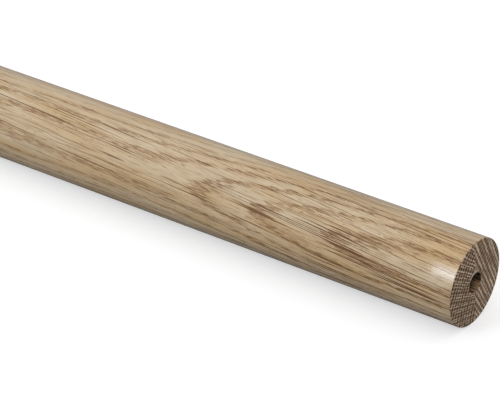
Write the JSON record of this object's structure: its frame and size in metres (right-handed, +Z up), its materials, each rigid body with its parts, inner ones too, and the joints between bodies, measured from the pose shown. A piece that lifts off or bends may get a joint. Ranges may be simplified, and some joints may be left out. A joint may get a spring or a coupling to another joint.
{
  "type": "stair handrail length",
  "caption": "Straight round stair handrail in clear-finished solid oak, with eased end edges and a dowel hole on the axis of each end.",
  "frame": {"origin": "centre of the near end face, at the mouth of its dowel hole, on the rail's axis", "axes": "+X along the rail's axis and out of the near end, so the rail runs back along -X; +Z up with the rail lying level; +Y completes a right-handed set"},
  "size_m": [1.5, 0.0418, 0.042],
  "materials": {
    "oak": "clear satin lacquer on the round, the sawn end grain left bare"
  },
  "bodies": {
    "root": {"handrail": "oak"}
  },
  "joints": []
}
